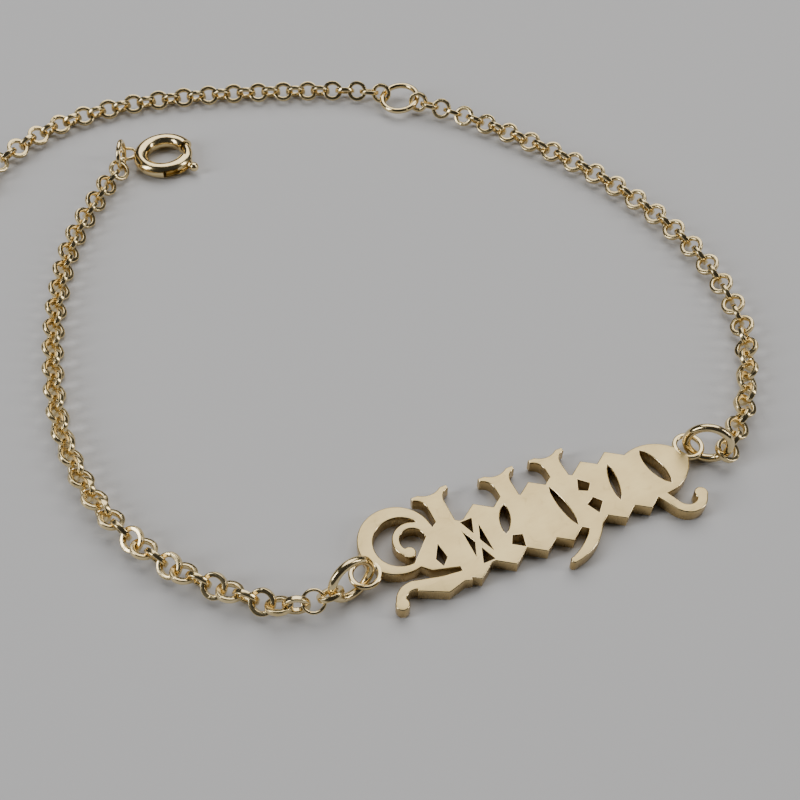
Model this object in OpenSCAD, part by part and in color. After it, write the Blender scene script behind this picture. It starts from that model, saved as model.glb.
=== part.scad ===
// Nameplate bracelet: a pierced gothic-ornament plate on a rolo chain, lying open on a table.
// Millimetres. +X runs along the plate, +Y across it, +Z up. The origin is at the middle of
// the plate's underside, on the surface that the bracelet lies on.

/* [Nameplate] */
// Length of the pierced plate without its eyelets
plate_l = 28; // [24:0.5:34]
// Height of the band of ornament between its top and bottom points
band_h = 6.2; // [5.4:0.1:7.4]
// Thickness of the plate
plate_t = 1.2; // [1.2:0.1:2]
// Rise of the forked spires above the band
spire_rise = 1.9; // [1:0.1:3]
// Drop of the curved tail and the right hook below the band
tail_drop = 1.7; // [1:0.1:2.6]
// Width of the broad upright strokes
stroke_w = 1.5; // [1.3:0.05:1.7]
// Width of the hairline strokes
hair_w = 0.5; // [0.4:0.05:0.7]
// Outer radius of the swash at the left end
swash_r = 3; // [2.6:0.1:3.4]

/* [Eyelets] */
// Outer diameter of the soldered eyelets
eyelet_od = 2.5; // [2.4:0.05:3]
// Wire diameter of the soldered eyelets
eyelet_wire = 0.38; // [0.3:0.02:0.4]

/* [Jump rings] */
// Outer diameter of the two jump rings beside the plate
jump_od = 4; // [3.8:0.05:4.4]
// Wire diameter of the two jump rings
jump_wire = 0.6; // [0.5:0.02:0.62]
// Outer diameter of the thin ring in the left chain
connector_od = 1.94; // [1.9:0.02:2.2]
// Wire diameter of the thin ring in the left chain
connector_wire = 0.26; // [0.2:0.02:0.34]

/* [Chain] */
// Outer diameter of a chain link
link_od = 2.12; // [2.06:0.02:2.4]
// Wire diameter of a chain link
link_wire = 0.33; // [0.3:0.01:0.4]
// Free play between two taut links
link_play = 0.12; // [0.1:0.01:0.2]
// Pitch of the loose stretch of the left chain, as a share of the taut pitch
loose_share = 0.92; // [0.9:0.01:1]
// Pitch of the rolling stretch of the left chain, as a share of the taut pitch
rolling_share = 0.97; // [0.92:0.01:1]
// Number of links after the plate in the left chain that roll by a third of a half turn each
rolling_links = 15; // [9:3:21]

/* [Clasp] */
// Outer diameter of the spring ring's tube ring
clasp_od = 6.3; // [5.8:0.1:7]
// Outer diameter of the spring ring's tube
clasp_tube = 1.5; // [1.3:0.02:1.6]
// Wall of the spring ring's tube
clasp_wall = 0.22; // [0.18:0.01:0.24]
// Radial play between the bolt and the tube's bore
bolt_play = 0.08; // [0.06:0.01:0.1]
// Angle of the spring ring's mouth
mouth_angle = 54; // [44:1:60]
// Angle that the trigger travels
trigger_travel = 48; // [36:1:52]
// Outer diameter of the eyelet on the spring ring
clasp_eye_od = 2.1; // [2:0.05:2.4]
// Wire diameter of the eyelet on the spring ring
clasp_eye_wire = 0.36; // [0.3:0.02:0.4]
// Outer diameter of the clasp's jump ring
clasp_jump_od = 3.2; // [3.1:0.05:3.5]
// Wire diameter of the clasp's jump ring
clasp_jump_wire = 0.46; // [0.4:0.02:0.5]

/* [End rings] */
// Outer diameter of the sizing ring, where the extender starts
sizing_od = 4.4; // [4.3:0.05:4.8]
// Wire diameter of the sizing ring
sizing_wire = 0.6; // [0.5:0.02:0.62]
// Outer diameter of the ring at the extender's free end
end_od = 4; // [3.8:0.05:4.4]
// Wire diameter of the ring at the extender's free end
end_wire = 0.6; // [0.5:0.02:0.64]

/* [Hidden] */

satin_gold = "#CDC3A5";
warm_gold = "#D8B878";

// Facet counts: every curve here comes out as a true arc
round_fn = 48;
wire_fn = 24;

// Centre-line radii
eyelet_r = (eyelet_od - eyelet_wire) / 2;
jump_r = (jump_od - jump_wire) / 2;
connector_r = (connector_od - connector_wire) / 2;
link_r = (link_od - link_wire) / 2;
clasp_r = (clasp_od - clasp_tube) / 2;
clasp_eye_r = (clasp_eye_od - clasp_eye_wire) / 2;
clasp_jump_r = (clasp_jump_od - clasp_jump_wire) / 2;
sizing_r = (sizing_od - sizing_wire) / 2;
end_r = (end_od - end_wire) / 2;

// Taut pitch: two crossed links pull against each other with link_play left between them
pitch = 2 * link_r - link_wire - link_play;

// Where the two eyelets sit on the plate's ends, just under its face
eyelet_seat = 0.25;
left_eyelet = [-plate_l / 2 - eyelet_seat, 1, plate_t - eyelet_wire / 2];
right_eyelet = [plate_l / 2 + eyelet_seat, 0.8, plate_t - eyelet_wire / 2];

// Each jump ring stands nearly upright through its eyelet: direction from the eyelet to the
// ring's centre, heading and tilt of its plane
left_jump_way = [-0.77, -0.28, 0.575];
left_jump_turn = [80, 0, 14];
right_jump_way = [0.62, -0.54, 0.575];
right_jump_turn = [83, 0, -39.5];
left_jump_at = left_eyelet + jump_r * left_jump_way;
right_jump_at = right_eyelet + jump_r * right_jump_way;

// Routes of the chains, chosen by hand: x and y from the ring that the chain starts at, z above the table
left_route = [[-1.79, -0.33, 1.65], [-3.85, -0.12, 1.45], [-6.4, 1.4, 1.085], [-11.8, 7.3, 1.065],
              [-15.1, 14.5, 1.035], [-16.1, 22.5, 0.865], [-15.1, 30.4, 0.835], [-12.9, 38.1, 0.835],
              [-9.6, 45.4, 0.835], [-4.8, 51.6, 0.92], [-2.9, 53.4, 1]];
right_route = [[1.4, -0.9, 1.3], [3.4, 0.6, 1.2], [6.4, 3.3, 1.065], [10.8, 9.8, 0.995], [12.6, 17.6, 0.965],
               [12.1, 25.5, 0.965], [9.9, 33.3, 0.965], [6.5, 40.4, 0.965], [2.2, 47.2, 0.995],
               [-1.4, 51.4, 1.2]];
extender_route = [[-1.48, 1.6, 1.14], [-4.6, 3.7, 1.015], [-11.9, 6.9, 0.965], [-19.6, 9.6, 0.965],
                  [-27.4, 11.3, 0.965], [-34.9, 10.9, 0.965], [-41.5, 7.6, 1.015], [-44.6, 4.6, 1.13]];

// Points between two chosen points when a route is smoothed
route_steps = 12;

// Smooth curve through the chosen points
function knot(p, i) = p[min(max(i, 0), len(p) - 1)];
function smooth_point(p, i, t) =
    let (a = knot(p, i - 1), b = knot(p, i), c = knot(p, i + 1), d = knot(p, i + 2))
    (2 * b + (c - a) * t + (2 * a - 5 * b + 4 * c - d) * t * t + (3 * b - a - 3 * c + d) * t * t * t) / 2;
function smooth_curve(p) = concat(
    [for (i = [0 : len(p) - 2]) for (k = [0 : route_steps - 1]) smooth_point(p, i, k / route_steps)],
    [p[len(p) - 1]]);
function arc_lengths(c) =
    [for (i = 0, s = 0; i < len(c); i = i + 1, s = s + (i < len(c) ? norm(c[i] - c[i - 1]) : 0)) s];

// Point at a length s along a curve
function point_at(c, lengths, s) =
    [for (axis = [0 : 2]) lookup(s, [for (i = [0 : len(c) - 1]) [lengths[i], c[i][axis]]])];

// Pose of each link: its centre, its roll, climb and heading
tangent_reach = 0.3;
function pose_at(c, lengths, s, roll) =
    let (back = point_at(c, lengths, max(s - tangent_reach, 0)),
         ahead = point_at(c, lengths, min(s + tangent_reach, lengths[len(lengths) - 1])),
         way = ahead - back)
    [point_at(c, lengths, s),
     [roll, -atan2(way[2], norm([way[0], way[1]])), atan2(way[1], way[0])]];

// Lengths at which links stand: first_count links at first_pitch, then the rest evenly near rest_pitch
function stations(total, first_count, first_pitch, rest_pitch) =
    let (first_run = first_count * first_pitch,
         rest = total - first_run,
         count = round(rest / rest_pitch))
    concat([for (i = [0 : 1 : first_count - 1]) i * first_pitch],
           [for (i = [0 : count]) first_run + i * rest / count]);

// Rolls of the left chain: thirds of a half turn in the first links, then a herringbone
rolling_start = 43;
herringbone_roll = 47;
function left_roll(i) =
    i < rolling_links ? rolling_start - 60 * (i % 3) : herringbone_roll * (i % 2 == 0 ? -1 : 1);

// Rolls of a taut chain: links alternate between nearly flat and nearly upright
flat_roll = 22;
function taut_roll(i) = flat_roll - (i % 2 == 0 ? 0 : 90);

// Slow twist of each chain about its route: share of its links, degrees
left_twist = [[0, 0], [0.08, -22], [0.33, -22], [0.45, 0], [1, 0]];
right_twist = [[0, 0], [0.08, 0], [0.25, 38], [0.85, 38], [1, 0]];
extender_twist = [[0, 0], [0.15, 38], [0.85, 38], [1, 0]];
function twist(table, i, stations) = lookup(i / (len(stations) - 1), table);

function placed(route, origin) = [for (p = route) p + [origin[0], origin[1], 0]];

left_curve = smooth_curve(placed(left_route, left_jump_at));
left_lengths = arc_lengths(left_curve);
left_stations = stations(left_lengths[len(left_lengths) - 1], rolling_links, pitch * rolling_share, pitch * loose_share);
left_poses = [for (i = [0 : len(left_stations) - 1])
    pose_at(left_curve, left_lengths, left_stations[i], left_roll(i) + twist(left_twist, i, left_stations))];

right_curve = smooth_curve(placed(right_route, right_jump_at));
right_lengths = arc_lengths(right_curve);
right_stations = stations(right_lengths[len(right_lengths) - 1], 0, pitch, pitch);
right_poses = [for (i = [0 : len(right_stations) - 1])
    pose_at(right_curve, right_lengths, right_stations[i], taut_roll(i) + twist(right_twist, i, right_stations))];

// The thin ring stands in place of one link of the left chain
connector_place = 1;

// The sizing ring carries the last link of the right chain and the first of the extender
last_right = right_poses[len(right_poses) - 1];
sizing_way = [-1.5, 1.58, -0.1];
sizing_turn = [-10, 0, 119];
sizing_at = last_right[0] + sizing_way;

extender_curve = smooth_curve(placed(extender_route, sizing_at));
extender_lengths = arc_lengths(extender_curve);
extender_stations = stations(extender_lengths[len(extender_lengths) - 1], 0, pitch, pitch);
extender_poses = [for (i = [0 : len(extender_stations) - 1])
    pose_at(extender_curve, extender_lengths, extender_stations[i],
            taut_roll(i + 1) + twist(extender_twist, i, extender_stations))];

last_extender = extender_poses[len(extender_poses) - 1];
end_way = [-1.25, -1.47, 0.02];
end_turn = [30, 0, 50.5];
end_at = last_extender[0] + end_way;

// The clasp lies flat beyond the left chain; its jump ring stands in its eyelet
last_left = left_poses[len(left_poses) - 1];
clasp_jump_way = [0.74, 1.41, 0.61];
clasp_jump_turn = [93, 0, 65];
clasp_jump_at = last_left[0] + clasp_jump_way;
clasp_eye_angle = 155;
clasp_eye_reach = clasp_r + clasp_tube / 2 + clasp_eye_r - clasp_eye_wire / 2;
clasp_eye_rise = 0.18;
clasp_eye_z = clasp_tube / 2 + clasp_eye_rise;
clasp_eye_way = [0.72, 0.87];
clasp_eye_at = [clasp_jump_at[0] + clasp_eye_way[0], clasp_jump_at[1] + clasp_eye_way[1], clasp_eye_z];
clasp_at = [clasp_eye_at[0] - clasp_eye_reach * cos(clasp_eye_angle),
            clasp_eye_at[1] - clasp_eye_reach * sin(clasp_eye_angle), clasp_tube / 2];
mouth_start = -42;

// Round wire ring lying in the XY plane about the origin
module wire_ring(r, wire) {
    rotate_extrude($fn = round_fn)
        translate([r, 0]) circle(d = wire, $fn = wire_fn);
}

module links(poses, skipped = -1) {
    for (i = [0 : len(poses) - 1])
        if (i != skipped)
            translate(poses[i][0]) rotate(poses[i][1]) wire_ring(link_r, link_wire);
}

// Flat ornament of the plate. Places along the plate are shares of its half length,
// and places across it are shares of half the band's height.
half_l = plate_l / 2;
half_h = band_h / 2;
function place(share_x, share_y) = [share_x * half_l, share_y * half_h];
function around(at, r, angle) = at + r * [cos(angle), sin(angle)];

// Share along the plate of each broad upright stroke
columns = [-0.49, -0.28, -0.09, 0.07, 0.23, 0.41, 0.57];
first_x = columns[0] * half_l;
last_x = columns[len(columns) - 1] * half_l;

// Points of the broken strokes: half width, half height and sideways shift
point_w = 1.35;
point_h = 0.95;
point_shift = 0.3;
panel_share = 0.7;

// Columns that carry a spire, and the share of the full rise that each one has
spires = [[0, 1.3], [2, 1], [4, 0.95]];

module stroke(from, to, w) {
    way = to - from;
    translate(from) rotate(atan2(way[1], way[0])) translate([0, -w / 2]) square([norm(way), w]);
}

module lozenge(at, w, h) {
    translate(at) polygon([[-w, 0], [0, -h], [w, 0], [0, h]]);
}

module dot(at, r) {
    translate(at) circle(r = r, $fn = wire_fn);
}

// Curved stroke about a centre, between two angles
module arc_stroke(at, r, w, from, to) {
    translate(at)
        difference() {
            circle(r = r + w / 2, $fn = round_fn);
            circle(r = r - w / 2, $fn = round_fn);
            arc_mask(r + w, to, from + 360);
        }
}

// Pie slice between two angles, in steps small enough to stay outside the circle
module arc_mask(r, from, to) {
    slices = 6;
    polygon(concat([[0, 0]], [for (i = [0 : slices]) around([0, 0], 1.5 * r, from + (to - from) * i / slices)]));
}

module columns_2d() {
    for (share = columns) {
        x = share * half_l;
        stroke([x, -half_h + point_h], [x, half_h - point_h], stroke_w);
        lozenge([x + point_shift, -half_h + point_h], point_w, point_h);
        lozenge([x - point_shift, half_h - point_h], point_w, point_h);
    }
}

// Panels fill the band between the columns
module panels_2d() {
    panel_h = panel_share * half_h;
    translate([first_x, -panel_h]) square([last_x - first_x, 2 * panel_h]);
}

// Upright spire whose top is hollowed and flares out in two horns
module spire(x, rise) {
    top = half_h + rise;
    horn_w = stroke_w / 2 + 0.8;
    flare_r = 1;
    horn_t = 0.32;
    cup_r = 1.5;
    translate([x - stroke_w / 2, 0]) square([stroke_w, top - flare_r]);
    difference() {
        translate([x - horn_w, top - flare_r - horn_t]) square([2 * horn_w, flare_r + horn_t]);
        for (side = [-1, 1])
            dot([x + side * (stroke_w / 2 + flare_r), top - flare_r - horn_t], flare_r);
        dot([x, top + cup_r * 0.78], cup_r);
    }
}

// Crescent swash that closes the left end, with a curl that ends in a ball inside it
swash_at = [-half_l + swash_r, half_h * 0.84];
module swash_2d() {
    hollow_r = swash_r * 0.7;
    curl_r = swash_r * 0.42;
    curl_w = hair_w * 1.2;
    curl_at = swash_at + [hollow_r - curl_r + 0.3, -0.45];
    curl_end = 235;
    difference() {
        translate(swash_at) circle(r = swash_r, $fn = round_fn);
        translate(swash_at + [0.25, -0.25]) circle(r = hollow_r, $fn = round_fn);
    }
    arc_stroke(curl_at, curl_r, curl_w, -10, curl_end);
    dot(around(curl_at, curl_r - 0.1, curl_end), hair_w);
    polygon([[first_x, half_h * 0.62], swash_at + [swash_r * 0.75, -swash_r * 0.2],
             swash_at + [swash_r * 0.1, -swash_r * 0.82], [swash_at[0] + swash_r * 0.45, -half_h * 0.3],
             [first_x, -half_h * 0.55]]);
}

// Pointed bowl that closes the right end
module bowl_2d() {
    bowl_r = 3.7;
    bowl_y = half_h * 0.78 - bowl_r;
    bowl_x = half_l - bowl_r - 0.1;
    intersection() {
        translate([bowl_x + 0.1, bowl_y]) circle(r = bowl_r, $fn = round_fn);
        translate([bowl_x, -bowl_y]) circle(r = bowl_r, $fn = round_fn);
    }
    translate([last_x, -half_h * 0.6]) square([bowl_x - last_x, half_h * 1.25]);
}

// Round-ended hooks under both ends: an arc, its ball and the stroke that it springs from
hook_r = 1.25;
hook_w = 0.78;
hook_ball_r = 0.54;
module hook(at, ball_angle, root_angle, root_l) {
    turn = ball_angle > root_angle ? 1 : -1;
    arc_stroke(at, hook_r, hook_w, min(ball_angle, root_angle), max(ball_angle, root_angle));
    dot(around(at, hook_r - 0.06, ball_angle), hook_ball_r);
    way = turn * [-sin(root_angle), cos(root_angle)];
    root = around(at, hook_r, root_angle);
    stroke(root + hook_w / 4 * way, root - root_l * way, hook_w);
}

module hooks_2d() {
    hook([-half_l * 0.83, -half_h * 0.86], 172, 76, 4.3);
    polygon([place(-0.8, -0.42), [first_x, -half_h * 0.62], [first_x, -half_h * 0.8], place(-0.66, -1),
             place(-0.81, -0.65)]);
    hook([half_l * 0.815, -half_h - tail_drop + hook_r + hook_w / 2], 345, 205, 2.8);
}

// Tapering tail that curves down from the middle column
module tail_2d() {
    outer_r = 4.6;
    inner_r = 5.8;
    bottom = -half_h - tail_drop;
    outer_at = [columns[4] * half_l - 3, bottom + outer_r];
    inner_at = outer_at + [-1.7, inner_r - outer_r + 0.2];
    tip_x = outer_at[0] + 0.25;
    intersection() {
        difference() {
            translate(outer_at) circle(r = outer_r, $fn = round_fn);
            translate(inner_at) circle(r = inner_r, $fn = round_fn);
        }
        translate([tip_x, bottom]) square([outer_r, half_h + tail_drop]);
    }
    dot([tip_x, bottom + 0.28], 0.28);
}

// Holes: crossed braces leave triangles, and others are leaves and kites
module crossed_hole(at, w, h) {
    translate(at)
        difference() {
            square([w, h], center = true);
            rotate(atan2(h, w)) square([2 * h, hair_w], center = true);
            rotate(-atan2(h, w)) square([2 * h, hair_w], center = true);
        }
}

module leaf_hole(at, w, h, lean) {
    r = (h * h + w * w) / (4 * w);
    translate(at) rotate(lean)
        intersection() {
            translate([r - w / 2, 0]) circle(r = r, $fn = round_fn);
            translate([w / 2 - r, 0]) circle(r = r, $fn = round_fn);
        }
}

module kite_hole(at, w, h, lean) {
    translate(at) rotate(lean) polygon([[-w / 2, 0], [0, -h * 0.65], [w / 2, 0], [0, h * 0.35]]);
}

// Each panel's middle, as a share along the plate
function panel(i) = (columns[i] + columns[i + 1]) / 2;

module holes_2d() {
    inside = (columns[1] - columns[0]) * half_l - stroke_w;
    kite_hole(place(columns[0] - 0.12, -0.08), 0.8, 1.9, 168);
    crossed_hole(place(panel(0), 0), inside, 1.25 * half_h);
    leaf_hole(place(panel(1), 0.27), 0.8, 0.85 * half_h, -24);
    kite_hole(place(panel(1), -0.38), 1.15, 1.3, 20);
    leaf_hole(place(panel(3), 0), 0.62, 1.3 * half_h, 5);
    kite_hole(place(panel(4), 0.27), 1.15, 1.25, 190);
    kite_hole(place(panel(4), -0.26), 1.2, 1.4, -10);
    leaf_hole(place(panel(5), 0.08), 0.62, 1.1 * half_h, -14);
    leaf_hole(place(0.76, 0.05), 1.1, 1.2 * half_h, 10);
}

module plate_2d() {
    difference() {
        union() {
            columns_2d();
            panels_2d();
            swash_2d();
            bowl_2d();
            hooks_2d();
            tail_2d();
            for (s = spires)
                spire(columns[s[0]] * half_l, s[1] * spire_rise);
        }
        holes_2d();
        for (eye = [left_eyelet, right_eyelet])
            translate([eye[0], eye[1]]) circle(r = eyelet_r - eyelet_wire / 2, $fn = round_fn);
    }
}

module nameplate() {
    color(satin_gold) {
        linear_extrude(plate_t) plate_2d();
        translate(left_eyelet) wire_ring(eyelet_r, eyelet_wire);
        translate(right_eyelet) wire_ring(eyelet_r, eyelet_wire);
    }
}

module left_jump_ring() {
    color(warm_gold) translate(left_jump_at) rotate(left_jump_turn) wire_ring(jump_r, jump_wire);
}

module right_jump_ring() {
    color(warm_gold) translate(right_jump_at) rotate(right_jump_turn) wire_ring(jump_r, jump_wire);
}

module connector_ring() {
    color(warm_gold)
        translate(left_poses[connector_place][0]) rotate(left_poses[connector_place][1])
            wire_ring(connector_r, connector_wire);
}

module left_chain() {
    color(warm_gold) links(left_poses, connector_place);
}

module right_chain() {
    color(warm_gold) links(right_poses);
}

module sizing_ring() {
    color(warm_gold) translate(sizing_at) rotate(sizing_turn) wire_ring(sizing_r, sizing_wire);
}

module extender_chain() {
    color(warm_gold) links(extender_poses);
}

module end_ring() {
    color(warm_gold) translate(end_at) rotate(end_turn) wire_ring(end_r, end_wire);
}

module clasp_jump_ring() {
    color(warm_gold)
        translate(clasp_jump_at) rotate(clasp_jump_turn) wire_ring(clasp_jump_r, clasp_jump_wire);
}

// The trigger's stem runs in a slot through the tube's outer wall
stem_d = 0.56;
slot_play = 0.1;
stem_angle = mouth_start - 12;
slot_end_angle = (stem_d / 2 + slot_play) / (clasp_od / 2) * 180 / PI;
bolt_seat_angle = 8;
bolt_tail_angle = 24;

// Part ring between two angles, swept about the clasp's centre
module swept(from, to) {
    rotate([0, 0, from]) rotate_extrude(angle = to - from, $fn = round_fn) children();
}

module spring_ring_body() {
    bore = clasp_tube - 2 * clasp_wall;
    color(warm_gold)
        translate(clasp_at) {
            difference() {
                swept(mouth_start + mouth_angle, mouth_start + 360)
                    translate([clasp_r, 0]) circle(d = clasp_tube, $fn = wire_fn);
                swept(mouth_start + mouth_angle - 1, mouth_start + 361)
                    translate([clasp_r, 0]) circle(d = bore, $fn = wire_fn);
                swept(stem_angle - trigger_travel - slot_end_angle, stem_angle + slot_end_angle)
                    translate([clasp_r, -stem_d / 2 - slot_play]) square([clasp_tube, stem_d + 2 * slot_play]);
            }
            translate(clasp_eye_at - clasp_at)
                difference() {
                    wire_ring(clasp_eye_r, clasp_eye_wire);
                    translate(clasp_at - clasp_eye_at)
                        swept(0, 360) translate([clasp_r, 0]) circle(d = bore, $fn = wire_fn);
                }
        }
}

module spring_ring_trigger() {
    bolt_d = clasp_tube - 2 * clasp_wall - 2 * bolt_play;
    knob_d = 0.95;
    stem_l = clasp_tube / 2 + 0.3;
    color(warm_gold)
        translate(clasp_at) {
            swept(stem_angle - bolt_tail_angle, mouth_start + mouth_angle + bolt_seat_angle)
                translate([clasp_r, 0]) circle(d = bolt_d, $fn = wire_fn);
            rotate([0, 0, stem_angle]) translate([clasp_r, 0, 0]) rotate([0, 90, 0]) {
                cylinder(d = stem_d, h = stem_l, $fn = wire_fn);
                translate([0, 0, stem_l + knob_d * 0.3]) sphere(d = knob_d, $fn = wire_fn);
            }
        }
}

nameplate();
left_jump_ring();
right_jump_ring();
connector_ring();
left_chain();
right_chain();
sizing_ring();
extender_chain();
end_ring();
clasp_jump_ring();
spring_ring_body();
spring_ring_trigger();
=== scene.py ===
"""Nameplate bracelet: a pierced satin plate on fine flat-faced rolo chains, with a spring ring
clasp and an extender, lying open on a pale studio floor."""
import math
import random

import bpy
import numpy as np
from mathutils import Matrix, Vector
from mathutils.geometry import tessellate_polygon


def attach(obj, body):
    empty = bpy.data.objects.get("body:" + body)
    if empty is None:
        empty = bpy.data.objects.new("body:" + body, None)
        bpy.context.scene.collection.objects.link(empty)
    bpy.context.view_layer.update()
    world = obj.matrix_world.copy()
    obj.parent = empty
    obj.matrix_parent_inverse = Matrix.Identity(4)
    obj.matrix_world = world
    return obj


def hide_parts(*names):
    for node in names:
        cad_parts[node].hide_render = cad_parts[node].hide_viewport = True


MM = 0.001

# Camera at the photo's place: millimetres and degrees, clipping in metres
CAMERA_PLACE = (-28.2, -35.5, 70.9)
CAMERA_PITCH_DOWN = 51.54
CAMERA_HEADING = 24.7
CAMERA_LENS = 47.79
CAMERA_SENSOR = 36.0
CAMERA_CLIP_START = 0.002
CAMERA_CLIP_END = 20

# Floor: half its side in metres, and its drop in millimetres, which clears the fuller rings
FLOOR_REACH = 1.5
FLOOR_DROP = 0.07
FLOOR_COLOUR = (0.62, 0.62, 0.63)
FLOOR_ROUGHNESS = 0.55
FLOOR_SPECULAR = 0.3

# Soft lights in metres and watts: name, place, width, height, power, tint
LIGHTS_AIM = (0, 0.03, 0)
LIGHTS = (
    ("overhead_softbox", (0.25, 0.42, 0.7), 1.0, 0.8, 6.0, (1.0, 0.98, 0.95)),
    ("left_softbox", (-0.6, 0.1, 0.35), 0.2, 0.45, 2.2, (0.96, 0.98, 1.0)),
    ("right_strip", (0.5, -0.25, 0.28), 0.1, 0.4, 1.0, (1.0, 0.97, 0.92)),
)
SKY_COLOUR = (0.42, 0.43, 0.45)
SKY_STRENGTH = 0.08

# Slow drift between two tones: detail and roughness of its noise, and the part of it that is used
DRIFT_DETAIL = 3
DRIFT_ROUGHNESS = 0.55
DRIFT_RANGE = (0.3, 0.7)

# Satin: fine lines over soft patches, and the range of their sum that is used
LINES_DETAIL = 4
LINES_ROUGHNESS = 0.65
PATCHES_SCALE = 650
PATCHES_DETAIL = 3
SATIN_RANGE = (0.7, 1.3)

# Hairline scratches: how their lines wander, in metres, and where they are left out
SCRATCH_WIDTH = 0.03
WANDER_SCALE = 500
WANDER_DETAIL = 2
WANDER_REACH = 0.0008
SPARSE_SCALE = 1100
SPARSE_DETAIL = 2
SPARSE_RANGE = (0.5, 0.62)
SCRATCH_DULLING = 0.12
SCRATCH_DEPTH_SHARE = 0.6

# Golds: light and deep tone, scale of the drift between them, lowest and highest roughness,
# scale and stretch of the grain, depth of its relief in metres, scale of the scratches
GOLDS = {
    "satin_plate_face": ((0.67, 0.525, 0.26), (0.62, 0.475, 0.225), 260, (0.30, 0.42),
                         9000, (0.14, 1.0, 1.0), 0.0000022, 700),
    # Rim: polished, smoother than the face, and painted lighter than the face's gold, a painted
    # highlight on the rounded edges
    "polished_rim_painted_highlight": ((0.86, 0.71, 0.43), (0.82, 0.65, 0.36), 420, (0.14, 0.24),
                         7000, (0.3, 1.0, 1.0), 0.000001, 900),
    # Wall: grain drawn along the cut, and painted darker than the face's gold, painted shade on the
    # plate's sides
    "cut_wall_painted_shade": ((0.62, 0.46, 0.22), (0.50, 0.36, 0.16), 700, (0.20, 0.38),
                       6500, (1.0, 1.0, 0.08), 0.000006, 800),
    "chain_gold": ((0.86, 0.70, 0.39), (0.78, 0.61, 0.31), 330, (0.15, 0.26),
                   5200, (1.0, 1.0, 1.0), 0.0000018, 1100),
    "polished_gold": ((0.88, 0.72, 0.41), (0.82, 0.65, 0.34), 240, (0.12, 0.22),
                      6000, (1.0, 1.0, 1.0), 0.0000010, 800),
}

# Plate, in millimetres. A bevel over 0.1 makes its inset edges cross at the thinnest web. Its faces
# are told from its rims and walls by how upright their normals are; the rims are painted lighter, a
# painted highlight, and the walls darker, painted shade
PLATE_THICKNESS = 1.2
PLATE_BEVEL = 0.1
RIM_STEPS = 4
FACE_RISE = 0.97
WALL_RISE = 0.2
SHARP_ANGLE = math.radians(32)

# Reading the plate's outline: steps to the metre that corners are rounded to, height of the
# underside in metres, and the shortest corner normal
GRID_STEPS = 1e7
UNDERSIDE = 0.00001
SHORTEST_NORMAL = 1e-6

# Eyelets, in millimetres: name, place and the direction in radians where they join the plate
EYELETS = (("left_eyelet", (-14.25, 1.0), 0.0), ("right_eyelet", (14.25, 0.8), math.pi))
EYELET_RADIUS = 1.09
EYELET_HALF_WALL = 0.21
EYELET_HALF_RISE = 0.22
EYELET_SQUARENESS = 2.8
EYELET_JOIN_HALF_ANGLE = 0.5
EYELET_JOIN_SWELL = 0.03
EYELET_ROUNDS = 72
EYELET_JOIN_ROUNDS = 13

# Chains: name, CAD node and the seed for its seams
CHAINS = (
    ("left_chain_links", "left_chain", 3),
    ("right_chain_links", "right_chain", 5),
    ("extender_links", "extender_chain", 7),
)

# Links, in millimetres: centre-line radius, half width of the flat face, half thickness
LINK_RADIUS = 0.862
LINK_HALF_WIDTH = 0.2
LINK_HALF_THICK = 0.215
LINK_SQUARENESS = 5.0
LINK_CORNERS = 16
LINK_ROUNDS = 40

# Solder seams at the links' sides: the sides in half turns, how far the seams wander from them
# and reach in radians, and how much they swell in millimetres
SEAM_SIDES = (0.5, 1.5)
SEAM_WANDER = 0.35
SEAM_HALF_ANGLE = math.radians(9)
SEAM_ROUNDS = 9
LINK_SWELL = 0.012

# Round-wire rings: name, CAD node, wire in millimetres, and the turn in radians of the line
# where the ends meet
WIRE_RINGS = (
    ("left_plate_ring", "left_jump_ring", 0.68, 0.9),
    ("right_plate_ring", "right_jump_ring", 0.68, 2.2),
    ("thin_wire_ring", "connector_ring", 0.26, 1.2),
    ("extender_start_ring", "sizing_ring", 0.6, 2.6),
    ("extender_end_ring", "end_ring", 0.6, 0.5),
    ("clasp_wire_ring", "clasp_jump_ring", 0.46, 0.9),
)
ROUND_SQUARENESS = 2.0
RING_CORNERS = 24
RING_ROUNDS = 88
NICK_HALF_ANGLE = math.radians(1.1)
NICK_DEPTH = 0.018
NICK_ROUNDS = 7

# A ring is taken as lying flat where its axis leans less than this sine
FLAT_LEAN = 0.1

# Rounds of a ring this many half angles from its seam are spaced evenly
SEAM_MARGIN = 1.15


# Camera, floor and lights

def make_camera():
    data = bpy.data.cameras.new("photo_camera")
    data.sensor_fit = "HORIZONTAL"
    data.sensor_width = CAMERA_SENSOR
    data.lens = CAMERA_LENS
    data.clip_start = CAMERA_CLIP_START
    data.clip_end = CAMERA_CLIP_END
    camera = bpy.data.objects.new("photo_camera", data)
    camera.location = Vector(CAMERA_PLACE) * MM
    camera.rotation_euler = (math.radians(90 - CAMERA_PITCH_DOWN), 0, math.radians(-CAMERA_HEADING))
    bpy.context.scene.collection.objects.link(camera)
    bpy.context.scene.camera = camera


def make_floor():
    mesh = bpy.data.meshes.new("studio_floor")
    r = FLOOR_REACH
    mesh.from_pydata([(-r, -r, 0), (r, -r, 0), (r, r, 0), (-r, r, 0)], [], [(0, 1, 2, 3)])
    floor = bpy.data.objects.new("studio_floor", mesh)
    floor.location.z = -FLOOR_DROP * MM
    bpy.context.scene.collection.objects.link(floor)
    paint = bpy.data.materials.new("pale_floor")
    paint.use_nodes = True
    shader = paint.node_tree.nodes["Principled BSDF"]
    shader.inputs["Base Color"].default_value = (*FLOOR_COLOUR, 1)
    shader.inputs["Roughness"].default_value = FLOOR_ROUGHNESS
    shader.inputs["Specular IOR Level"].default_value = FLOOR_SPECULAR
    mesh.materials.append(paint)


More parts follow.
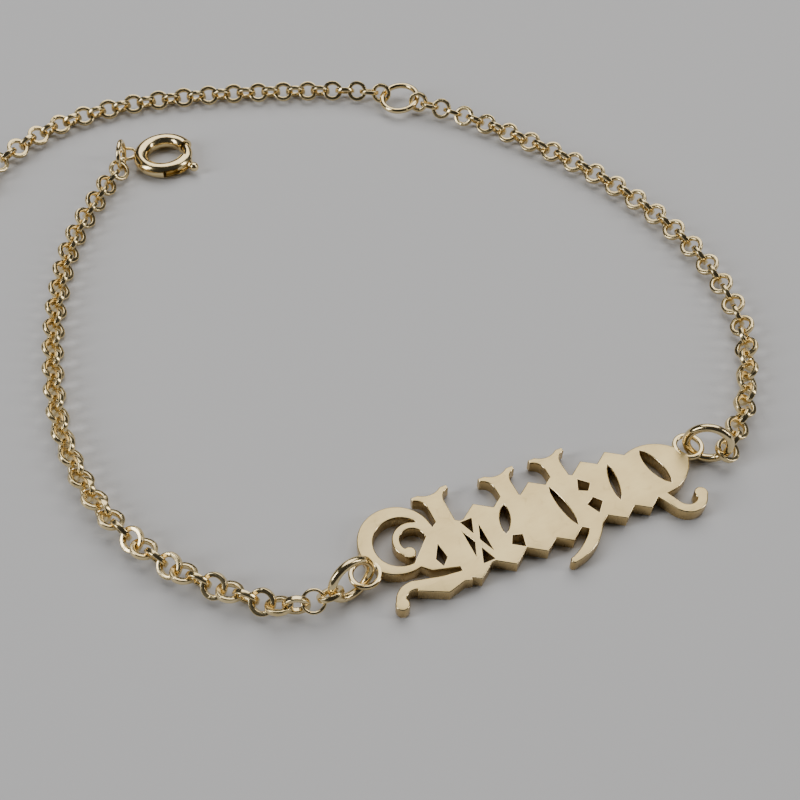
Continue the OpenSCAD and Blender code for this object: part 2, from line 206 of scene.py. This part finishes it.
def soft_light(name, place, width, height, power, tint):
    data = bpy.data.lights.new(name, "AREA")
    data.shape = "RECTANGLE"
    data.size = width
    data.size_y = height
    data.energy = power
    data.color = tint
    light = bpy.data.objects.new(name, data)
    light.location = place
    aim = Vector(LIGHTS_AIM) - Vector(place)
    light.rotation_euler = aim.to_track_quat("-Z", "Y").to_euler()
    bpy.context.scene.collection.objects.link(light)


def make_lights():
    for light in LIGHTS:
        soft_light(*light)
    world = bpy.data.worlds.new("studio")
    world.use_nodes = True
    sky = world.node_tree.nodes["Background"]
    sky.inputs["Color"].default_value = (*SKY_COLOUR, 1)
    sky.inputs["Strength"].default_value = SKY_STRENGTH
    bpy.context.scene.world = world


# Shader groups

def new_group(name, inputs, outputs):
    group = bpy.data.node_groups.new(name, "ShaderNodeTree")
    for label, kind, value in inputs:
        socket = group.interface.new_socket(name=label, in_out="INPUT", socket_type=kind)
        socket.default_value = value
    for label, kind in outputs:
        group.interface.new_socket(name=label, in_out="OUTPUT", socket_type=kind)
    source = group.nodes.new("NodeGroupInput")
    result = group.nodes.new("NodeGroupOutput")
    return group, source, result


def feed(tree, socket, value):
    """Link a socket to the one given, or set it to the number or vector given."""
    if isinstance(value, bpy.types.NodeSocket):
        tree.links.new(value, socket)
    else:
        socket.default_value = value


def object_places(tree):
    return tree.nodes.new("ShaderNodeTexCoord").outputs["Object"]


def noise(tree, places, scale, detail, roughness=0.5):
    node = tree.nodes.new("ShaderNodeTexNoise")
    tree.links.new(places, node.inputs["Vector"])
    feed(tree, node.inputs["Scale"], scale)
    node.inputs["Detail"].default_value = detail
    node.inputs["Roughness"].default_value = roughness
    return node


def remap(tree, value, low, high, to_low, to_high):
    node = tree.nodes.new("ShaderNodeMapRange")
    tree.links.new(value, node.inputs["Value"])
    for label, end in (("From Min", low), ("From Max", high), ("To Min", to_low), ("To Max", to_high)):
        feed(tree, node.inputs[label], end)
    return node.outputs["Result"]


def maths(tree, kind, operation, *values):
    """A maths node of values or sockets, for numbers or vectors."""
    node = tree.nodes.new(kind)
    node.operation = operation
    for socket, value in zip(node.inputs, values):
        feed(tree, socket, value)
    return node.outputs[0]


def tone_drift_group():
    """Slow drift between two tones of the same metal, as handled gold has."""
    group, source, result = new_group(
        "tone_drift",
        [("Light Tone", "NodeSocketColor", (0.9, 0.8, 0.6, 1)),
         ("Deep Tone", "NodeSocketColor", (0.8, 0.6, 0.35, 1)),
         ("Scale", "NodeSocketFloat", 400.0)],
        [("Color", "NodeSocketColor")])
    places = object_places(group)
    cloud = noise(group, places, source.outputs["Scale"], DRIFT_DETAIL, DRIFT_ROUGHNESS)
    mask = remap(group, cloud.outputs["Fac"], *DRIFT_RANGE, 0.0, 1.0)
    mix = group.nodes.new("ShaderNodeMix")
    mix.data_type = "RGBA"
    group.links.new(mask, mix.inputs["Factor"])
    group.links.new(source.outputs["Light Tone"], mix.inputs["A"])
    group.links.new(source.outputs["Deep Tone"], mix.inputs["B"])
    group.links.new(mix.outputs["Result"], result.inputs["Color"])
    return group


def satin_group():
    """Fine brushing along one direction, over a soft grain."""
    group, source, result = new_group(
        "satin_brushing",
        [("Grain Scale", "NodeSocketFloat", 9000.0),
         ("Stretch", "NodeSocketVector", (0.12, 1.0, 1.0)),
         ("Low Roughness", "NodeSocketFloat", 0.25),
         ("High Roughness", "NodeSocketFloat", 0.4)],
        [("Height", "NodeSocketFloat"), ("Roughness", "NodeSocketFloat")])
    places = object_places(group)
    drawn = maths(group, "ShaderNodeVectorMath", "MULTIPLY", places, source.outputs["Stretch"])
    lines = noise(group, drawn, source.outputs["Grain Scale"], LINES_DETAIL, LINES_ROUGHNESS)
    patches = noise(group, places, PATCHES_SCALE, PATCHES_DETAIL)
    both = maths(group, "ShaderNodeMath", "ADD", lines.outputs["Fac"], patches.outputs["Fac"])
    rough = remap(group, both, *SATIN_RANGE,
                  source.outputs["Low Roughness"], source.outputs["High Roughness"])
    group.links.new(lines.outputs["Fac"], result.inputs["Height"])
    group.links.new(rough, result.inputs["Roughness"])
    return group


def hairline_group():
    """Sparse hairline scratches that wear leaves on polished metal."""
    group, source, result = new_group(
        "hairline_scratches",
        [("Scale", "NodeSocketFloat", 900.0), ("Width", "NodeSocketFloat", SCRATCH_WIDTH)],
        [("Mask", "NodeSocketFloat"), ("Height", "NodeSocketFloat")])
    places = object_places(group)
    bend = noise(group, places, WANDER_SCALE, WANDER_DETAIL)
    wandering = maths(group, "ShaderNodeVectorMath", "MULTIPLY_ADD",
                      bend.outputs["Color"], (WANDER_REACH,) * 3, places)
    cells = group.nodes.new("ShaderNodeTexVoronoi")
    cells.feature = "DISTANCE_TO_EDGE"
    group.links.new(source.outputs["Scale"], cells.inputs["Scale"])
    group.links.new(wandering, cells.inputs["Vector"])
    line = remap(group, cells.outputs["Distance"], 0.0, source.outputs["Width"], 1.0, 0.0)
    patch = noise(group, places, SPARSE_SCALE, SPARSE_DETAIL)
    sparse = remap(group, patch.outputs["Fac"], *SPARSE_RANGE, 0.0, 1.0)
    kept = maths(group, "ShaderNodeMath", "MULTIPLY", line, sparse)
    group.links.new(kept, result.inputs["Mask"])
    group.links.new(remap(group, kept, 0.0, 1.0, 1.0, 0.0), result.inputs["Height"])
    return group


# Metals

def group_node(tree, group, settings):
    node = tree.nodes.new("ShaderNodeGroup")
    node.node_tree = group
    for label, value in settings.items():
        node.inputs[label].default_value = value
    return node


def metal(name, groups, light_tone, deep_tone, drift_scale, rough,
          grain, stretch, relief, scratch_scale):
    """A gold: tone drift in its colour, satin brushing and hairlines in its roughness and bump."""
    paint = bpy.data.materials.new(name)
    paint.use_nodes = True
    tree = paint.node_tree
    shader = tree.nodes["Principled BSDF"]
    shader.inputs["Metallic"].default_value = 1.0
    drift = group_node(tree, groups["drift"], {
        "Light Tone": (*light_tone, 1), "Deep Tone": (*deep_tone, 1), "Scale": drift_scale})
    satin = group_node(tree, groups["satin"], {
        "Grain Scale": grain, "Stretch": stretch,
        "Low Roughness": rough[0], "High Roughness": rough[1]})
    scratches = group_node(tree, groups["hairlines"], {"Scale": scratch_scale})
    dulled = maths(tree, "ShaderNodeMath", "MULTIPLY_ADD",
                   scratches.outputs["Mask"], SCRATCH_DULLING, satin.outputs["Roughness"])
    height = maths(tree, "ShaderNodeMath", "MULTIPLY_ADD",
                   scratches.outputs["Height"], SCRATCH_DEPTH_SHARE, satin.outputs["Height"])
    bump = tree.nodes.new("ShaderNodeBump")
    bump.inputs["Strength"].default_value = 1.0
    bump.inputs["Distance"].default_value = relief
    tree.links.new(height, bump.inputs["Height"])
    tree.links.new(drift.outputs["Color"], shader.inputs["Base Color"])
    tree.links.new(dulled, shader.inputs["Roughness"])
    tree.links.new(bump.outputs["Normal"], shader.inputs["Normal"])
    return paint


def make_metals():
    groups = {"drift": tone_drift_group(), "satin": satin_group(), "hairlines": hairline_group()}
    return {name: metal(name, groups, *settings) for name, settings in GOLDS.items()}


# Mesh helpers

def add_piece(name, mesh, metals, node):
    """A piece of the bracelet in its metals, standing in for one CAD node."""
    piece = bpy.data.objects.new(name, mesh)
    bpy.context.scene.collection.objects.link(piece)
    for paint in metals:
        mesh.materials.append(METALS[paint])
    for face in mesh.polygons:
        face.use_smooth = True
    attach(piece, "bracelet")
    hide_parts(node)
    return piece


def soft_cornered_section(half_width, half_thick, squareness, count):
    """Points of a wire's section: across the wire, and along the ring's axis."""
    points = []
    for i in range(count):
        turn = 2 * math.pi * (i + 0.5) / count
        c = math.cos(turn)
        s = math.sin(turn)
        points.append((half_width * math.copysign(abs(c) ** (2 / squareness), c),
                       half_thick * math.copysign(abs(s) ** (2 / squareness), s)))
    return points


def from_seam(angle, seam):
    """Angle from the seam, between minus and plus half a turn."""
    return (angle - seam + math.pi) % (2 * math.pi) - math.pi


def ring_angles(count, seam, half_angle, extra):
    """Angles round a ring, closer together at its seam."""
    angles = [2 * math.pi * i / count for i in range(count)]
    near = [seam + half_angle * (2 * i / (extra - 1) - 1) for i in range(extra)]
    far = [a for a in angles if abs(from_seam(a, seam)) > half_angle * SEAM_MARGIN]
    return sorted((a % (2 * math.pi)) for a in far + near)


def ring_mesh_parts(radius, section, angles, seam, half_angle, swell):
    """Vertices and quads of one ring about the Z axis, thicker by swell at its seam."""
    verts = []
    for angle in angles:
        off = abs(from_seam(angle, seam))
        share = 0.5 + 0.5 * math.cos(math.pi * min(off / half_angle, 1))
        for across, along in section:
            grow = 1 + swell * share / math.hypot(across, along)
            reach = radius + across * grow
            verts.append((reach * math.cos(angle), reach * math.sin(angle), along * grow))
    count = len(section)
    rounds = len(angles)
    faces = [(r * count + k, ((r + 1) % rounds) * count + k,
              ((r + 1) % rounds) * count + (k + 1) % count, r * count + (k + 1) % count)
             for r in range(rounds) for k in range(count)]
    return np.array(verts), faces


def join_rings(name, rings):
    """One mesh from (vertices, faces) pairs, in millimetres."""
    verts = []
    faces = []
    for points, quads in rings:
        start = len(verts)
        verts.extend(tuple(p * MM) for p in points)
        faces.extend(tuple(start + i for i in quad) for quad in quads)
    mesh = bpy.data.meshes.new(name)
    mesh.from_pydata(verts, [], faces)
    return mesh


# Poses of the CAD rings and links, read from the loose parts of the frame's meshes

def loose_parts(node):
    """Vertex places of each loose part of a CAD node, in millimetres."""
    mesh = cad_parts[node].data
    places = np.zeros(len(mesh.vertices) * 3)
    mesh.vertices.foreach_get("co", places)
    places = places.reshape(-1, 3) / MM
    edges = np.zeros(len(mesh.edges) * 2, int)
    mesh.edges.foreach_get("vertices", edges)
    edges = edges.reshape(-1, 2)
    label = np.arange(len(places))
    while True:
        low = np.minimum(label[edges[:, 0]], label[edges[:, 1]])
        fresh = label.copy()
        np.minimum.at(fresh, edges[:, 0], low)
        np.minimum.at(fresh, edges[:, 1], low)
        fresh = fresh[fresh]
        if (fresh == label).all():
            break
        label = fresh
    return [places[label == i] for i in np.unique(label)]


def ring_pose(points):
    """Centre and axis of a ring from its points."""
    middle = points.mean(0)
    _, _, axes = np.linalg.svd(points - middle, full_matrices=False)
    spread = (points - middle) @ axes.T
    centre = middle + ((spread.max(0) + spread.min(0)) / 2) @ axes
    axis = axes[2]
    return centre, axis if axis[2] >= 0 else -axis


def placed(points, centre, axis, towards):
    """Points of a ring about Z, laid round an axis and turned so that their X points towards."""
    x = towards - axis * (towards @ axis)
    x = x / np.linalg.norm(x)
    turn = np.column_stack((x, np.cross(axis, x), axis))
    return points @ turn.T + centre


def chain_piece(name, node, seed):
    """All the links of one chain, each with flat faces and a solder seam at its side."""
    poses = [ring_pose(part) for part in loose_parts(node)]
    centres = np.array([centre for centre, _ in poses])
    draw = random.Random(seed)
    section = soft_cornered_section(LINK_HALF_WIDTH, LINK_HALF_THICK, LINK_SQUARENESS, LINK_CORNERS)
    rings = []
    for i, (centre, axis) in enumerate(poses):
        gaps = np.linalg.norm(centres - centre, axis=1)
        gaps[i] = np.inf
        along = centres[int(gaps.argmin())] - centre
        seam = draw.choice(SEAM_SIDES) * math.pi + draw.uniform(-SEAM_WANDER, SEAM_WANDER)
        angles = ring_angles(LINK_ROUNDS, seam, SEAM_HALF_ANGLE, SEAM_ROUNDS)
        points, quads = ring_mesh_parts(LINK_RADIUS, section, angles, seam, SEAM_HALF_ANGLE, LINK_SWELL)
        rings.append((placed(points, centre, axis, along), quads))
    add_piece(name, join_rings(name, rings), ["chain_gold"], node)


def wire_ring_piece(name, node, wire, nick_turn):
    """A round-wire ring with the fine line where its two ends meet."""
    points = loose_parts(node)[0]
    centre, axis = ring_pose(points)
    reach = np.linalg.norm(points - centre, axis=1)
    radius = (reach.max() + reach.min()) / 2
    section = soft_cornered_section(wire / 2, wire / 2, ROUND_SQUARENESS, RING_CORNERS)
    angles = ring_angles(RING_ROUNDS, 0.0, NICK_HALF_ANGLE, NICK_ROUNDS)
    verts, quads = ring_mesh_parts(radius, section, angles, 0.0, NICK_HALF_ANGLE, -NICK_DEPTH)
    across = np.cross(axis, np.array([0.0, 0.0, 1.0]))
    if np.linalg.norm(across) < FLAT_LEAN:
        across = np.array([1.0, 0.0, 0.0])
    towards = across * math.cos(nick_turn) + np.cross(axis, across) * math.sin(nick_turn)
    mesh = join_rings(name, [(placed(verts, centre, axis, towards), quads)])
    add_piece(name, mesh, ["polished_gold"], node)


# Nameplate: its outline is the CAD plate's underside, with a small round on every edge

def underside_edges(mesh):
    """Corner places in millimetres by number, and the underside's outer edges as number pairs."""
    numbers = {}
    ids = []
    for vertex in mesh.vertices:
        key = tuple(round(c * GRID_STEPS) for c in vertex.co)
        ids.append(numbers.setdefault(key, len(numbers)))
    to_mm = 1 / (GRID_STEPS * MM)
    places = {i: (key[0] * to_mm, key[1] * to_mm) for key, i in numbers.items()}
    used = {}
    for face in mesh.polygons:
        corners = list(face.vertices)
        if max(mesh.vertices[v].co.z for v in corners) > UNDERSIDE:
            continue
        ring = [ids[v] for v in corners]
        for a, b in zip(ring, ring[1:] + ring[:1]):
            if a == b:
                continue
            if (b, a) in used:
                del used[(b, a)]
            else:
                used[(a, b)] = True
    return places, used


def outline_loops(node):
    """Closed loops round the flat underside of a CAD node, in millimetres."""
    places, used = underside_edges(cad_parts[node].data)
    follow = {}
    for a, b in used:
        follow.setdefault(a, []).append(b)
    loops = []
    while follow:
        start = next(iter(follow))
        loop = [start]
        here = start
        while True:
            there = follow[here].pop()
            if not follow[here]:
                del follow[here]
            if there == start:
                break
            loop.append(there)
            here = there
        loops.append([places[i] for i in loop])
    return loops


def inset_loop(loop, depth):
    """The loop moved towards the metal, which is on its left, along the bisector of each corner."""
    points = np.array(loop)
    ahead = np.roll(points, -1, 0) - points
    ahead /= np.linalg.norm(ahead, axis=1)[:, None]
    normal = np.column_stack((-ahead[:, 1], ahead[:, 0]))
    bisector = normal + np.roll(normal, 1, 0)
    bisector /= np.maximum(np.linalg.norm(bisector, axis=1), SHORTEST_NORMAL)[:, None]
    return points + bisector * depth


def bevelled_plate(loops):
    """Plate mesh from its outline: walls, rounded rims and both faces."""
    rims = []
    for i in range(RIM_STEPS + 1):
        turn = math.pi / 2 * i / RIM_STEPS
        rims.append((PLATE_BEVEL * (1 - math.cos(turn)), PLATE_BEVEL * (1 - math.sin(turn))))
    levels = rims[::-1] + [(inset, PLATE_THICKNESS - height) for inset, height in rims]
    verts = []
    faces = []
    top = []
    under = []
    for loop in loops:
        loop = loop[::-1]
        count = len(loop)
        start = len(verts)
        for inset, height in levels:
            verts.extend((x * MM, y * MM, height * MM) for x, y in inset_loop(loop, inset))
        for level in range(len(levels) - 1):
            low = start + level * count
            for k in range(count):
                ahead = (k + 1) % count
                faces.append((low + k, low + ahead, low + count + ahead, low + count + k))
        under.append(list(range(start, start + count)))
        top.append(list(range(start + (len(levels) - 1) * count, start + len(levels) * count)))
    for rings, flip in ((top, False), (under, True)):
        flat = [i for ring in rings for i in ring]
        outlines = [[Vector((verts[i][0], verts[i][1], 0)) for i in ring] for ring in rings]
        for triangle in tessellate_polygon(outlines):
            a, b, c = (Vector(verts[flat[i]]) for i in triangle)
            upward = (b - a).cross(c - a).z > 0
            corners = tuple(flat[i] for i in triangle)
            faces.append(corners if upward != flip else corners[::-1])
    mesh = bpy.data.meshes.new("cut_plate")
    mesh.from_pydata(verts, [], faces)
    return mesh


def nameplate_piece():
    mesh = bevelled_plate(outline_loops("nameplate"))
    paints = ["satin_plate_face", "polished_rim_painted_highlight", "cut_wall_painted_shade"]
    add_piece("cut_plate", mesh, paints, "nameplate")
    for face in mesh.polygons:
        rise = abs(face.normal.z)
        # Upward faces take the face's gold, rims a lighter copy as painted highlight, walls a darker
        # copy as painted shade
        face.material_index = 0 if rise > FACE_RISE else 2 if rise < WALL_RISE else 1
    mesh.set_sharp_from_angle(angle=SHARP_ANGLE)


def eyelet_piece(name, place, join):
    """A ring soldered to the plate's end, swelling where it joins."""
    section = soft_cornered_section(EYELET_HALF_WALL, EYELET_HALF_RISE, EYELET_SQUARENESS, RING_CORNERS)
    angles = ring_angles(EYELET_ROUNDS, join, EYELET_JOIN_HALF_ANGLE, EYELET_JOIN_ROUNDS)
    verts, quads = ring_mesh_parts(
        EYELET_RADIUS, section, angles, join, EYELET_JOIN_HALF_ANGLE, EYELET_JOIN_SWELL)
    centre = np.array([*place, PLATE_THICKNESS - EYELET_HALF_RISE])
    mesh = join_rings(name, [(verts + centre, quads)])
    add_piece(name, mesh, ["polished_gold"], "nameplate")


# Assembly

make_camera()
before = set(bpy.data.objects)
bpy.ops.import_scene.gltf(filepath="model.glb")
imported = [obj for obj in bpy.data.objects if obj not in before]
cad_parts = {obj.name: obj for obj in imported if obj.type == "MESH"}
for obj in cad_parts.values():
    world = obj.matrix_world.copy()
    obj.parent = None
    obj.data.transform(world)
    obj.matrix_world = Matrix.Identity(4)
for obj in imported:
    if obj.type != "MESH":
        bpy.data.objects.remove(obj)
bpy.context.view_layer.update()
make_floor()
make_lights()
METALS = make_metals()

nameplate_piece()
for eyelet in EYELETS:
    eyelet_piece(*eyelet)
for chain in CHAINS:
    chain_piece(*chain)
for ring in WIRE_RINGS:
    wire_ring_piece(*ring)

for node in ("spring_ring_body", "spring_ring_trigger"):
    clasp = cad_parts[node]
    clasp.data.materials.clear()
    clasp.data.materials.append(METALS["polished_gold"])
